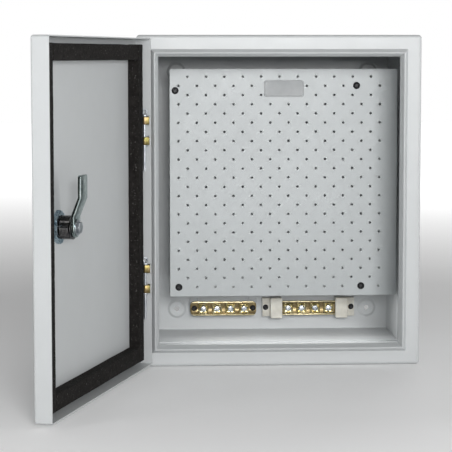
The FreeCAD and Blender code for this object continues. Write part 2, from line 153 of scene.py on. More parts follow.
class Finish:
    """A Principled material under construction, with short calls for its nodes."""

    def __init__(self, name, colour, roughness, metallic=0.0):
        self.material = bpy.data.materials.new(name)
        self.material.use_nodes = True
        self.tree = self.material.node_tree
        self.inputs = self.tree.nodes["Principled BSDF"].inputs
        self.inputs["Base Color"].default_value = (*colour, 1.0)
        self.inputs["Roughness"].default_value = roughness
        self.inputs["Metallic"].default_value = metallic
        self.place = self.tree.nodes.new("ShaderNodeTexCoord").outputs["Object"]
        self.normal = None

    def stretched(self, scale):
        """Object coordinates scaled differently along each axis."""
        return add_node(self.tree, "ShaderNodeMapping",
                        {"Scale": scale, "Vector": self.place}).outputs["Vector"]

    def noise(self, scale, detail=2.0, roughness=0.5, vector=None):
        return add_node(self.tree, "ShaderNodeTexNoise", {
            "Scale": scale, "Detail": detail, "Roughness": roughness,
            "Vector": vector or self.place}).outputs["Fac"]

    def cells(self, scale):
        return add_node(self.tree, "ShaderNodeTexVoronoi",
                        {"Scale": scale, "Vector": self.place}).outputs["Distance"]

    def ramp(self, factor, stops):
        """Colours at given positions; returns the colour output."""
        node = add_node(self.tree, "ShaderNodeValToRGB", {"Fac": factor})
        node.color_ramp.elements[0].position = stops[0][0]
        node.color_ramp.elements[1].position = stops[-1][0]
        for position, _ in stops[1:-1]:
            node.color_ramp.elements.new(position)
        for element, (_, colour) in zip(node.color_ramp.elements, stops):
            element.color = (*colour, 1.0)
        return node.outputs["Color"]

    def levels(self, factor, low, high, from_low=0.3, from_high=0.7):
        return map_range(self.tree, factor, from_low, from_high, low, high)

    def blend(self, factor, first, second, mode="MIX"):
        """Two colours mixed; the Mix node's sockets share names, so they go by identifier."""
        node = self.tree.nodes.new("ShaderNodeMix")
        node.data_type = "RGBA"
        node.blend_type = mode
        sockets = {socket.identifier: socket for socket in node.inputs}
        for name, value in (("Factor_Float", factor), ("A_Color", first), ("B_Color", second)):
            if isinstance(value, bpy.types.NodeSocket):
                self.tree.links.new(value, sockets[name])
            else:
                sockets[name].default_value = value
        return next(s for s in node.outputs if s.identifier == "Result_Color")

    def colour(self, output):
        self.tree.links.new(output, self.inputs["Base Color"])

    def roughness(self, output):
        self.tree.links.new(output, self.inputs["Roughness"])

    def mottle(self, scale, detail, stops):
        """Colour that wanders between the stops."""
        self.colour(self.ramp(self.noise(scale, detail), stops))

    def polish(self, scale, detail, smooth, rough):
        """Roughness that wanders between two levels."""
        self.roughness(self.levels(self.noise(scale, detail), smooth, rough))

    def shade_with(self, node):
        self.normal = node.outputs["Normal"]
        self.tree.links.new(self.normal, self.inputs["Normal"])

    def soften_edges(self, radius):
        """Rounds the shading of sharp edges by a real radius."""
        node = add_node(self.tree, "ShaderNodeBevel", {"Radius": radius})
        node.samples = 6
        self.shade_with(node)

    def bump(self, height, strength, distance):
        values = {"Height": height, "Strength": strength, "Distance": distance}
        if self.normal:
            values["Normal"] = self.normal
        self.shade_with(add_node(self.tree, "ShaderNodeBump", values))

    def grain(self, scale, detail, strength, depth):
        """Fine unevenness of the surface."""
        self.bump(self.noise(scale, detail), strength, depth)

    def matt(self, level):
        self.inputs["Specular IOR Level"].default_value = level


def powder_coat(name, colour, peel, rounding):
    """Baked powder coat: orange peel, faint cloudiness, small specks and softened sheet edges."""
    finish = Finish(name, colour, 0.38)
    lighter = tuple(min(1.0, c * 1.015) for c in colour)
    darker = tuple(c * 0.98 for c in colour)
    cloudy = finish.ramp(finish.noise(9.0, 4.0), [(0.35, darker), (0.65, lighter)])
    specks = finish.ramp(finish.noise(1900.0, 1.0),
                         [(0.25, (0.90, 0.90, 0.90)), (0.42, (1.0, 1.0, 1.0))])
    finish.colour(finish.blend(0.5, cloudy, specks, "MULTIPLY"))
    finish.polish(45.0, 3.0, 0.38, 0.43)
    finish.soften_edges(rounding)
    finish.grain(420.0, 1.5, peel, 0.35 * MM)
    finish.grain(1500.0, 1.0, peel * 0.6, 0.10 * MM)
    finish.matt(0.45)
    return finish.material


def zinc_plate(name):
    """Bright zinc plate: bluish metal with soft mottling."""
    finish = Finish(name, (0.43, 0.45, 0.48), 0.35, 1.0)
    finish.mottle(160.0, 3.0, [(0.3, (0.34, 0.37, 0.40)), (0.7, (0.52, 0.54, 0.56))])
    finish.polish(500.0, 3.0, 0.26, 0.44)
    finish.soften_edges(0.25 * MM)
    finish.grain(900.0, 3.0, 0.06, 0.12 * MM)
    return finish.material


def yellow_zinc(name):
    """Yellow passivated zinc: dull gold with green and rose patches."""
    finish = Finish(name, (0.14, 0.11, 0.05), 0.37, 1.0)
    finish.mottle(130.0, 3.0, [
        (0.30, (0.060, 0.066, 0.022)), (0.45, (0.135, 0.110, 0.042)),
        (0.58, (0.200, 0.155, 0.075)), (0.72, (0.180, 0.115, 0.080))])
    finish.polish(420.0, 3.0, 0.28, 0.46)
    finish.soften_edges(0.3 * MM)
    finish.grain(700.0, 3.0, 0.2, 0.12 * MM)
    return finish.material


def pressed_brass(name, channel_floor):
    """Pressed brass strip: fine drawing lines, and painted brown shade down in its channel."""
    finish = Finish(name, (0.60, 0.52, 0.32), 0.40, 1.0)
    bright = finish.ramp(finish.noise(170.0, 4.0), [
        (0.30, (0.40, 0.33, 0.18)), (0.50, (0.60, 0.52, 0.32)), (0.70, (0.68, 0.62, 0.44))])
    split = add_node(finish.tree, "ShaderNodeSeparateXYZ", {"Vector": finish.place})
    # painted shade: the colour turns dark brown towards the channel's floor, where shadow falls
    # between the clamps
    channel_shade = finish.levels(split.outputs["Y"], 0.0, 1.0, channel_floor - 1.6 * MM,
                         channel_floor - 0.3 * MM)
    finish.colour(finish.blend(channel_shade, bright, (0.20, 0.155, 0.080, 1.0)))
    lines = finish.noise(300.0, 2.0, vector=finish.stretched((0.25, 4.0, 4.0)))
    finish.roughness(finish.levels(lines, 0.30, 0.50))
    finish.soften_edges(0.3 * MM)
    finish.bump(lines, 0.15, 0.10 * MM)
    return finish.material


def gilt_chromate(name):
    """Yellow-plated clamp: gold with olive, straw and rose bloom."""
    finish = Finish(name, (0.60, 0.50, 0.25), 0.32, 1.0)
    finish.mottle(240.0, 3.0, [
        (0.28, (0.22, 0.21, 0.09)), (0.40, (0.50, 0.38, 0.13)), (0.52, (0.66, 0.54, 0.26)),
        (0.62, (0.60, 0.57, 0.38)), (0.74, (0.54, 0.34, 0.24))])
    finish.polish(620.0, 3.0, 0.22, 0.42)
    finish.soften_edges(0.25 * MM)
    finish.grain(800.0, 3.0, 0.25, 0.12 * MM)
    return finish.material


def black_oxide(name):
    """Blackened steel screw."""
    finish = Finish(name, (0.012, 0.012, 0.013), 0.42, 0.2)
    finish.polish(900.0, 2.0, 0.30, 0.55)
    finish.mottle(700.0, 2.0, [(0.35, (0.006, 0.006, 0.007)), (0.7, (0.024, 0.024, 0.026))])
    finish.grain(1200.0, 2.0, 0.2, 0.08 * MM)
    return finish.material


def plated_steel(name, dark, light, roughness):
    """Plated lock part: patchy tint and polish that varies."""
    finish = Finish(name, light, roughness, 1.0)
    finish.mottle(170.0, 3.0, [(0.32, dark), (0.68, light)])
    finish.polish(600.0, 4.0, roughness * 0.6, roughness * 1.6)
    finish.soften_edges(0.2 * MM)
    finish.grain(260.0, 3.0, 0.12, 0.15 * MM)
    return finish.material


def milky_plastic(name):
    """Milky polyamide with a little light going through it."""
    finish = Finish(name, (0.50, 0.485, 0.43), 0.38)
    finish.mottle(120.0, 3.0, [(0.3, (0.44, 0.425, 0.375)), (0.7, (0.56, 0.545, 0.49))])
    finish.polish(300.0, 2.0, 0.30, 0.46)
    finish.inputs["Subsurface Weight"].default_value = 0.35
    finish.inputs["Subsurface Radius"].default_value = (1.0, 0.9, 0.7)
    finish.inputs["Subsurface Scale"].default_value = 2.0 * MM
    finish.soften_edges(0.4 * MM)
    finish.grain(350.0, 2.0, 0.15, 0.15 * MM)
    return finish.material


def cellular_foam(name):
    """Closed-cell foam rubber: near black, matt, with open pores and pale specks of dust."""
    finish = Finish(name, (0.010, 0.009, 0.008), 0.92)
    base = finish.ramp(finish.noise(260.0, 4.0),
                       [(0.30, (0.0055, 0.0048, 0.0044)), (0.70, (0.015, 0.0135, 0.0125))])
    dust = finish.ramp(finish.noise(640.0, 1.0, 0.4),
                       [(0.66, (0.0, 0.0, 0.0)), (0.78, (1.0, 1.0, 1.0))])
    finish.colour(finish.blend(dust, base, (0.085, 0.082, 0.079, 1.0)))
    finish.bump(finish.cells(950.0), 0.6, 0.30 * MM)
    finish.grain(2200.0, 2.0, 0.4, 0.15 * MM)
    finish.matt(0.15)
    return finish.material


def satin_label(name):
    """Satin plastic with a faint grain."""
    finish = Finish(name, (0.375, 0.387, 0.393), 0.5)
    finish.mottle(60.0, 3.0, [(0.3, (0.35, 0.362, 0.368)), (0.7, (0.40, 0.412, 0.418))])
    finish.polish(200.0, 2.0, 0.45, 0.6)
    finish.grain(900.0, 2.0, 0.08, 0.06 * MM)
    finish.matt(0.35)
    return finish.material


def pale_floor(name):
    """Pale table that fades to white away from the cabinet."""
    finish = Finish(name, (0.80, 0.80, 0.80), 0.75)
    finish.mottle(3.0, 3.0, [(0.3, (0.78, 0.78, 0.78)), (0.7, (0.81, 0.81, 0.81))])
    distance = add_node(finish.tree, "ShaderNodeVectorMath", {0: finish.place}, "LENGTH")
    glow = finish.levels(distance.outputs["Value"], 0.10, 0.95, 0.5, 2.4)
    finish.inputs["Emission Color"].default_value = (1.0, 1.0, 1.0, 1.0)
    finish.tree.links.new(glow, finish.inputs["Emission Strength"])
    return finish.material


MATERIALS = {}


def finish_for(slot):
    """The material of a slot or of a special look, made once."""
    if slot not in MATERIALS:
        look = bpy.context.scene.cabinet_look
        makers = {
            "cabinet_paint": lambda: powder_coat("light_grey_powder_coat", look.paint_colour,
                                                 look.orange_peel, 0.5 * MM),
            "plate_paint": lambda: powder_coat("plate_powder_coat", look.plate_colour,
                                               look.orange_peel * 0.25, 0.12 * MM),
            "white_zinc": lambda: zinc_plate("bright_zinc"),
            "yellow_zinc": lambda: yellow_zinc("yellow_zinc"),
            "black_steel": lambda: black_oxide("black_oxide"),
            "brass": lambda: pressed_brass("pressed_brass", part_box("earth_clamps")[1].y),
            "brass_clamp": lambda: gilt_chromate("gilt_chromate"),
            "insulator_plastic": lambda: milky_plastic("milky_polyamide"),
            "foam_rubber": lambda: cellular_foam("cellular_foam"),
            "label_plastic": lambda: satin_label("satin_label"),
            "lock_chrome": lambda: plated_steel("smoked_chrome", (0.045, 0.045, 0.05),
                                                (0.16, 0.155, 0.15), 0.10),
            "cam_plating": lambda: plated_steel("cam_plating", (0.22, 0.28, 0.28),
                                                (0.50, 0.56, 0.54), 0.16),
            "blue_zinc": lambda: plated_steel("blue_zinc", (0.16, 0.25, 0.31),
                                              (0.40, 0.49, 0.54), 0.27),
        }
        MATERIALS[slot] = makers[slot]()
    return MATERIALS[slot]


# ---- making pieces ------------------------------------------------------------------------
def finish_piece(mesh, name, body, slot, replaced=(), smooth_angle=35.0, look=None):
    """Links a mesh as a finished piece that rides on a body."""
    mesh.name = name
    mesh.materials.clear()
    mesh.materials.append(finish_for(look or slot))
    mesh.shade_smooth()
    mesh.set_sharp_from_angle(angle=math.radians(smooth_angle))
    piece = bpy.data.objects.new(name, mesh)
    bpy.context.scene.collection.objects.link(piece)
    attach(piece, body)
    if replaced:
        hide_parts(*replaced)
    return piece


def mesh_from(verts, faces, matrix=None):
    """A mesh with its normals pointing outwards."""
    mesh = bpy.data.meshes.new("piece")
    mesh.from_pydata([tuple(v) for v in verts], [], faces)
    work = bmesh.new()
    work.from_mesh(mesh)
    bmesh.ops.remove_doubles(work, verts=work.verts, dist=MICRON)
    bmesh.ops.recalc_face_normals(work, faces=work.faces)
    work.to_mesh(mesh)
    work.free()
    if matrix:
        mesh.transform(matrix)
    return mesh


def placed(data):
    """A temporary object in the scene."""
    holder = bpy.data.objects.new("temporary", data)
    bpy.context.scene.collection.objects.link(holder)
    return holder


def baked(holder):
    """The plain mesh of a temporary object after its modifiers; the object goes away."""
    bpy.context.view_layer.update()
    evaluated = holder.evaluated_get(bpy.context.evaluated_depsgraph_get())
    mesh = bpy.data.meshes.new_from_object(evaluated)
    bpy.data.objects.remove(holder)
    return mesh


def rounded_copy(node, word, body, slot, width, segments=2, look=None):
    """A merged copy of a CAD node with really rounded edges, named after it with a word added."""
    work = bmesh.new()
    work.from_mesh(frame["nodes"][node].data)
    bmesh.ops.remove_doubles(work, verts=work.verts, dist=2 * MICRON)
    bmesh.ops.dissolve_limit(work, angle_limit=math.radians(1.0), verts=work.verts,
                             edges=work.edges)
    verts = [v.co.copy() for v in work.verts]
    work.verts.index_update()
    faces = [[v.index for v in face.verts] for face in work.faces]
    work.free()
    holder = placed(mesh_from(verts, faces))
    rounding = holder.modifiers.new("rounding", "BEVEL")
    rounding.width = width
    rounding.segments = segments
    rounding.limit_method = "ANGLE"
    rounding.angle_limit = math.radians(35)
    return finish_piece(baked(holder), node + "_" + word, body, slot, (node,), look=look)


def lathe(profile, segments):
    """A closed turned shape about the Y axis; the profile is (radius, y) from axis to axis."""
    turns = [2 * math.pi * index / segments for index in range(segments)]
    return stacked([[(radius * math.cos(turn), y, radius * math.sin(turn)) for turn in turns]
                    for radius, y in profile])


def arc(centre, radius, start, end, steps):
    """Points of an arc in a plane, in degrees."""
    points = []
    for step in range(steps + 1):
        angle = math.radians(start + (end - start) * step / steps)
        points.append((centre[0] + radius * math.cos(angle), centre[1] + radius * math.sin(angle)))
    return points


# ---- repeated pieces ----------------------------------------------------------------------
def repeat_tree():
    """Geometry nodes that set one model on every place, each with its own turn about Y."""
    tree = bpy.data.node_groups.new("repeat_on_places", "GeometryNodeTree")
    for name, kind in (("Places", "Geometry"), ("Model", "Object"), ("Largest Turn", "Float"),
                       ("Seed", "Int"), ("Finish", "Material")):
        tree.interface.new_socket(name, in_out="INPUT", socket_type="NodeSocket" + kind)
    tree.interface.new_socket("Geometry", in_out="OUTPUT", socket_type="NodeSocketGeometry")
    start = add_node(tree, "NodeGroupInput").outputs
    model = add_node(tree, "GeometryNodeObjectInfo", {"Object": start["Model"]})
    place = add_node(tree, "GeometryNodeInstanceOnPoints",
                     {"Points": start["Places"], "Instance": model.outputs["Geometry"]})
    least = add_node(tree, "ShaderNodeMath", {0: start["Largest Turn"], 1: -1.0}, "MULTIPLY")
    turn = add_node(tree, "FunctionNodeRandomValue",
                    {2: least.outputs[0], 3: start["Largest Turn"], "Seed": start["Seed"]})
    axis = add_node(tree, "ShaderNodeCombineXYZ", {"Y": turn.outputs[1]})
    rotate = add_node(tree, "GeometryNodeRotateInstances", {
        "Instances": place.outputs["Instances"], "Rotation": axis.outputs["Vector"]})
    realize = add_node(tree, "GeometryNodeRealizeInstances",
                       {"Geometry": rotate.outputs["Instances"]})
    paint = add_node(tree, "GeometryNodeSetMaterial", {
        "Geometry": realize.outputs["Geometry"], "Material": start["Finish"]})
    add_node(tree, "NodeGroupOutput", {"Geometry": paint.outputs["Geometry"]})
    return tree


def repeated(node, word, model_mesh, seat, slot, largest_turn, seed, look=None):
    """One piece with the same model on each solid of a node, seated at a depth."""
    tree = bpy.data.node_groups.get("repeat_on_places") or repeat_tree()
    model = placed(model_mesh)
    points = bpy.data.meshes.new("places")
    points.from_pydata([(centre.x, seat, centre.z) for centre, _, _ in islands(node)], [], [])
    holder = placed(points)
    modifier = holder.modifiers.new("repeat", "NODES")
    modifier.node_group = tree
    values = {"Model": model, "Largest Turn": largest_turn, "Seed": seed,
              "Finish": finish_for(look or slot)}
    for item in tree.interface.items_tree:
        if item.in_out == "INPUT" and item.name in values:
            modifier[item.identifier] = values[item.name]
    mesh = baked(holder)
    bpy.data.objects.remove(model)
    if not mesh.polygons:
        raise RuntimeError(node + " came out empty")
    return finish_piece(mesh, node + "_" + word, "cabinet", slot, (node,), look=look)


def cut_with(mesh, cutters):
    """The mesh with other closed meshes taken away."""
    target = placed(mesh)
    tools = [placed(cutter) for cutter in cutters]
    for tool in tools:
        modifier = target.modifiers.new("cut", "BOOLEAN")
        modifier.operation = "DIFFERENCE"
        modifier.solver = "EXACT"
        modifier.object = tool
    result = baked(target)
    for tool in tools:
        bpy.data.objects.remove(tool)
    return result


def block(low, high):
    """A rectangular block between two corners."""
    verts = [(x, y, z) for x in (low[0], high[0]) for y in (low[1], high[1])
             for z in (low[2], high[2])]
    faces = [(0, 1, 3, 2), (4, 6, 7, 5), (0, 4, 5, 1), (2, 3, 7, 6), (0, 2, 6, 4), (1, 5, 7, 3)]
    return mesh_from(verts, faces)


def dome_head_model(radius, height, shank_radius, shank_length):
    """Round-head screw with a cross recess; its seat is at y = 0 and its head points to -Y."""
    ball = (radius ** 2 + height ** 2) / (2 * height)
    edge, steps = 0.25 * MM, 10
    profile = [(AXIS, -height)]
    for step in range(1, steps + 1):
        reach = (radius - 0.1 * MM) * step / steps
        y = -height + ball - math.sqrt(ball ** 2 - reach ** 2)
        profile.append((reach, min(y, -edge)))
    profile += [(radius, -edge), (radius, 0.0), (shank_radius, 0.0),
                (shank_radius, shank_length), (AXIS, shank_length)]
    arm, half_width, floor, above = radius * 0.52, radius * 0.13, -height * 0.42, -height - MM
    cross = [block((-arm, above, -half_width), (arm, floor, half_width)),
             block((-half_width, above, -arm), (half_width, floor, arm))]
    return cut_with(lathe(profile, SCREW_FACETS), cross)


def cheese_head_model(radius, height, shank_radius, shank_length):
    """Flat round head with a chamfer and a slot."""
    profile = [(AXIS, -height), (radius - 0.45 * MM, -height),
               (radius - 0.1 * MM, -height + 0.2 * MM), (radius, -height + 0.5 * MM),
               (radius, 0.0), (shank_radius, 0.0), (shank_radius, shank_length),
               (AXIS, shank_length)]
    half_width, floor, past = 0.45 * MM, -height + 1.1 * MM, radius + MM
    slot = block((-past, -height - MM, -half_width), (past, floor, half_width))
    return cut_with(lathe(profile, SCREW_FACETS), [slot])


def turned_on_lock(loop, facets):
    """A hollow turned shape round the open door's lock; the (radius, y) loop is closed."""
    verts, faces = [], []
    count = len(loop)
    for facet in range(facets):
        turn = 2 * math.pi * facet / facets
        verts += [(radius * math.cos(turn), y, radius * math.sin(turn)) for radius, y in loop]
        base, following = facet * count, (facet + 1) % facets * count
        for step in range(count):
            ahead = (step + 1) % count
            faces.append((base + step, base + ahead, following + ahead, following + step))
    axis = DOOR_SHUT @ LOCK_POINT
    return mesh_from(verts, faces, DOOR_OPEN @ Matrix.Translation((axis.x, 0.0, axis.z)))


def flat_ring(node, bore, arris, facets):
    """A flat ring for a CAD node on the lock's axis; a negative bore is the ring's width."""
    low, high = closed_box(node)
    outer = (high.x - low.x) / 2
    inner = bore if bore > 0 else outer + bore
    loop = [(inner, low.y), (outer - arris, low.y), (outer, low.y + arris),
            (outer, high.y - arris), (outer - arris, high.y), (inner, high.y)]
    return turned_on_lock(loop, facets)


# ---- foam ---------------------------------------------------------------------------------
def grid_lines(length, step, corner):
    """Distances along an edge, with extra lines in the rounded corners."""
    middle = max(1, round((length - 2 * corner) / step))
    lines = [0.0, corner * 0.35, corner * 0.7]
    lines += [corner + (length - 2 * corner) * index / middle for index in range(middle + 1)]
    lines += [length - corner * 0.7, length - corner * 0.35, length]
    return lines


def box_grid(lines):
    """Points and faces of a box whose six faces are divided at the given distances."""
    counts = [len(distances) for distances in lines]
    index_of, verts, faces = {}, [], []

    def vertex(i, j, k):
        if (i, j, k) not in index_of:
            index_of[(i, j, k)] = len(verts)
            verts.append(Vector((lines[0][i], lines[1][j], lines[2][k])))
        return index_of[(i, j, k)]

    for axis in range(3):
        u, v = (axis + 1) % 3, (axis + 2) % 3
        for side in (0, counts[axis] - 1):
            for a in range(counts[u] - 1):
                for b in range(counts[v] - 1):
                    quad = []
                    for da, db in ((0, 0), (1, 0), (1, 1), (0, 1)):
                        place = [0, 0, 0]
                        place[axis], place[u], place[v] = side, a + da, b + db
                        quad.append(vertex(*place))
                    faces.append(quad)
    return verts, faces


def foam_strip(node, body, look, seed):
    """A strip cut from foam: soft arrises, uneven faces and open cells on every face."""
    low, high = closed_box(node)
    size = high - low
    corner, slack = look.foam_arris, look.foam_waviness
    verts, faces = box_grid([grid_lines(size[i], look.foam_detail, corner) for i in range(3)])
    shift = Vector((seed * 0.37, seed * 0.11, seed * 0.53))
    along = 0 if size.x > size.z else 2
    across = 2 - along
    middle, half = (low[across] + high[across]) / 2, size[across] / 2
    finished = []
    for point in verts:
        core = Vector([min(max(point[i], corner), size[i] - corner) for i in range(3)])
        outward = point - core
        if outward.length > 0:
            outward.normalize()
        soft = core + outward * corner
        place = low + soft
        # the glued back stays flat, and the unevenness grows in the first quarter of the height
        free = min(1.0, max(0.0, (soft.y / size.y - 0.04) * 5.0))
        coarse = 0.5 + 0.5 * noise.noise(place * 85.0 + shift)
        fine = 0.5 + 0.5 * noise.noise(place * 620.0 + shift)
        pore = max(0.0, noise.cell_vector(place * 1500.0 + shift).x - 0.82) / 0.18
        wave = noise.noise(Vector((place[along] * 26.0, seed * 3.1, 0.0)))
        place = place - outward * free * (0.22 * coarse + 0.16 * fine + 0.30 * pore) * MM
        place[across] = middle + (place[across] - middle) * (half - slack) / half + wave * slack
        finished.append(place)
    mesh = mesh_from(finished, faces, DOOR_OPEN)
    piece = finish_piece(mesh, node + "_foam", body, "foam_rubber", (node,), 60.0)
    return piece


# ---- hinge pins ---------------------------------------------------------------------------
TAPER_POINTS = 6.0             # points over which a wire gets thinner


def bent_wire(points, thick, thin, taper_from):
    """A round wire through the points, thinner after the given point."""
    curve = bpy.data.curves.new("wire", "CURVE")
    curve.dimensions = "3D"
    curve.bevel_depth = thick
    curve.bevel_resolution = 5
    curve.use_fill_caps = True
    spline = curve.splines.new("POLY")
    spline.points.add(len(points) - 1)
    for index, (target, point) in enumerate(zip(spline.points, points)):
        target.co = (*point, 1.0)
        thinned = max(0.0, min(1.0, (index - taper_from) / TAPER_POINTS))
        target.radius = 1.0 + (thin / thick - 1.0) * thinned
    mesh = baked(placed(curve))
    return mesh_from([v.co for v in mesh.vertices], [tuple(p.vertices) for p in mesh.polygons])


def hinge_pin(node, body):
    """Wire pin with a hook bent at its thinner upper end."""
    low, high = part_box(node)
    axis = (low + high) / 2
    wire_radius, hook_wire = 1.3 * MM, 0.85 * MM
    hook = 2.3 * MM                # radius of the hook's bend
    centre = high.z - hook - 0.9 * MM
    straight_end = centre - hook - 1.6 * MM
    points = [(axis.x, axis.y, low.z), (axis.x, axis.y, low.z + 0.02 * MM)]
    for step in range(1, 25):
        points.append((axis.x, axis.y, low.z + (straight_end - low.z) * step / 24))
    taper_from = len(points)
    # a smooth step aside from the straight wire to the hook
    turn = math.radians(225)
    start = Vector((axis.x, 0.0, straight_end))
    join = Vector((axis.x + hook * math.cos(turn), 0.0, centre + hook * math.sin(turn)))
    leave = Vector((0, 0, 2.6 * MM))
    arrive = Vector((math.sin(turn), 0, -math.cos(turn))) * 3.4 * MM
    for step in range(1, 9):
        t = step / 8
        spot = ((2 * t ** 3 - 3 * t ** 2 + 1) * start + (t ** 3 - 2 * t ** 2 + t) * leave
                + (3 * t ** 2 - 2 * t ** 3) * join + (t ** 3 - t ** 2) * arrive)
        points.append((spot.x, axis.y, spot.z))
    bend = arc((axis.x, centre), hook, 225, -50, 24)
    points += [(x, axis.y, z) for x, z in bend[1:]]
    mesh = bent_wire(points, wire_radius, hook_wire, taper_from)
    return finish_piece(mesh, node + "_wire", body, "white_zinc", (node,), 50.0)


# ---- terminal parts -----------------------------------------------------------------------
def rounded_rectangle(half_x, half_z, y, corner):
    """Points of a rectangle with rounded corners, lying across the Y axis."""
    points = []
    for quarter, (side_x, side_z) in enumerate(((1, 1), (-1, 1), (-1, -1), (1, -1))):
        centre = (side_x * (half_x - corner), side_z * (half_z - corner))
        for x, z in arc(centre, corner, 90 * quarter, 90 * quarter + 90, 6):
            points.append((x, y, z))
    return points


def stacked(rings):
    """A closed mesh through rings of equal count, from its back to its front."""
    verts = [point for ring in rings for point in ring]
    count = len(rings[0])
    faces = [tuple(range(count)), tuple(range(len(verts) - count, len(verts)))]
    for base in range(0, len(verts) - count, count):
        for step in range(count):
            a, b = base + step, base + (step + 1) % count
            faces.append((a, b, b + count, a + count))
    return mesh_from(verts, faces)


# steps of a pressed plate, from its edge inwards: inset and drop from the front, in mm
LABEL_STEPS = ((0.0, 0.35), (0.12, 0.12), (0.4, 0.0), (1.1, 0.0), (1.35, 0.1), (1.6, 0.3),
               (2.2, 0.32))
CLAMP_STEPS = ((0.0, 0.9), (0.25, 0.3), (0.8, 0.0), (1.35, 0.25), (1.7, 0.9), (2.6, 1.15))


def dished_model(half_x, half_z, depth, corner, back_inset, steps):
    """A pressed plate with a raised rim, from its back over its edge to its middle."""
    return stacked([rounded_rectangle(half_x - inset * MM, half_z - inset * MM, drop * MM - depth,
                                      max(0.3 * MM, corner - 0.5 * inset * MM))
                    for inset, drop in ((back_inset, depth / MM), *steps)])


def screw_sizes(node):
    """Head radius, and the head's lowest and the shank's highest Y, of a screw node."""
    _, low, high = islands(node)[0]
    return (high.x - low.x) / 2, low.y, high.y


def domed_screws(node, seat, largest_turn, seed):
    """Black round-head screws for a screw node whose heads rest at a depth."""
    radius, front, rear = screw_sizes(node)
    model = dome_head_model(radius, seat - front, radius * 0.5, rear - seat)
    return repeated(node, "domed", model, seat, "black_steel", largest_turn, seed)


def weld_bead(start, end, height, seed):
    """An uneven run of weld metal from one point to another."""
    along = (end - start).normalized()
    side = along.orthogonal().normalized()
    rise = along.cross(side)
    stations, around = 36, 12
    rings = []
    for station in range(stations + 1):
        t = station / stations
        fall = max(0.03, math.sqrt(max(0.0, 1 - (2 * t - 1) ** 6)))
        ripple = 1.0 + 0.16 * math.sin(t * 40.0 + seed)
        drift = side * noise.noise(Vector((t * 4.0, seed * 1.7, 0.0))) * height * 0.5
        ring = []
        for step in range(around):
            angle = 2 * math.pi * step / around
            lump = 1 + 0.2 * noise.noise(
                Vector((t * 11.0, math.cos(angle) * 2, seed + math.sin(angle) * 2)))
            reach = height * fall * ripple * lump
            ring.append(start.lerp(end, t) + drift
                        + (side * math.cos(angle) + rise * math.sin(angle)) * reach)
        rings.append(ring)
    return stacked(rings)


# ---- sizes and colours --------------------------------------------------------------------
def paint(name, description, default):
    return FloatVectorProperty(name=name, description=description, subtype="COLOR", size=3,
                               min=0.0, max=1.0, default=default)


def share(name, description, default):
    return FloatProperty(name=name, description=description, subtype="FACTOR", min=0.0,
                         max=1.0, default=default)


def length(name, description, default, least=0.0):
    return FloatProperty(name=name, description=description, unit="LENGTH", min=least,
                         default=default)


def angle(name, description, degrees):
    return FloatProperty(name=name, description=description, unit="ROTATION",
                         default=math.radians(degrees))


def power(name, description, default):
    return FloatProperty(name=name, description=description, subtype="POWER", min=0.0,
                         default=default)


class CabinetLook(bpy.types.PropertyGroup):
    paint_colour: paint("Body paint", "Powder coat of the body and door", (0.46, 0.475, 0.48))
    plate_colour: paint("Plate paint", "Finish of the mounting plate", (0.47, 0.495, 0.50))
    orange_peel: share("Orange peel", "Strength of the powder coat's texture", 0.12)
    edge_rounding: length("Edge rounding", "Bevel on small stamped parts", 0.25 * MM)
    foam_arris: length("Foam arris", "Rounding of the foam strips' edges", 1.1 * MM)
    foam_detail: length("Foam detail", "Spacing of the points on the foam's faces", 0.85 * MM,
                        0.3 * MM)
    foam_waviness: length("Foam waviness", "How far the glued strips wander", 0.3 * MM)
    screw_turn: angle("Screw turn", "Largest random turn of a screw's slot", 80)
    seed: IntProperty(name="Seed", description="Seed of the random turns", default=4)


class CabinetStage(bpy.types.PropertyGroup):
    background: share("Background", "Brightness of the plain surroundings", 1.0)
    room_level: share("Room level", "Brightness of the room overhead and in front", 0.12)
    front_power: power("Front light", "Soft box above the camera", 33.0)
    left_power: power("Left light", "Soft box on the left", 8.0)
    right_power: power("Right light", "Soft box on the right", 8.5)
    top_power: power("Top light", "Soft box overhead", 3.6)
    rear_power: power("Rear light", "Weak soft box high up behind", 9.0)
    strip_power: power("Strip light", "Small strip that fills the wiring space", 0.12)
    camera_place: FloatVectorProperty(
        name="Camera place", description="Where the camera stands", subtype="TRANSLATION",
        unit="LENGTH", size=3, default=(-0.1430, -1.9152, 0.1527))
    camera_pitch: angle("Camera pitch", "How far the camera looks down", 4.718)
    camera_yaw: angle("Camera yaw", "How far the camera turns to the right", 2.925)
    camera_roll: angle("Camera roll", "How far the camera leans", 0.033)
    camera_lens: FloatProperty(
        name="Lens", description="Focal length in millimetres", subtype="DISTANCE_CAMERA",
        min=1.0, default=128.91)
    camera_shift: FloatProperty(
        name="Lens shift", description="Vertical shift as a share of the picture's width",
        min=-0.5, max=0.5, default=-0.08)


# ---- operators ----------------------------------------------------------------------------
class CABINET_OT_sheet_metal(bpy.types.Operator):
    """Powder coat on the frame, rear pan, plate and door shell"""
    bl_idname = "cabinet.sheet_metal"
    bl_label = "Coat the sheet metal"

    def execute(self, context):
        for node, slot in (("front_frame", "cabinet_paint"), ("rear_pan", "cabinet_paint"),
                           ("door_shell", "cabinet_paint"), ("mounting_plate", "plate_paint")):
            piece = frame["nodes"][node]
            if not piece.material_slots:
                piece.data.materials.append(None)
            for material_slot in piece.material_slots:
                material_slot.material = finish_for(slot)
        return {"FINISHED"}


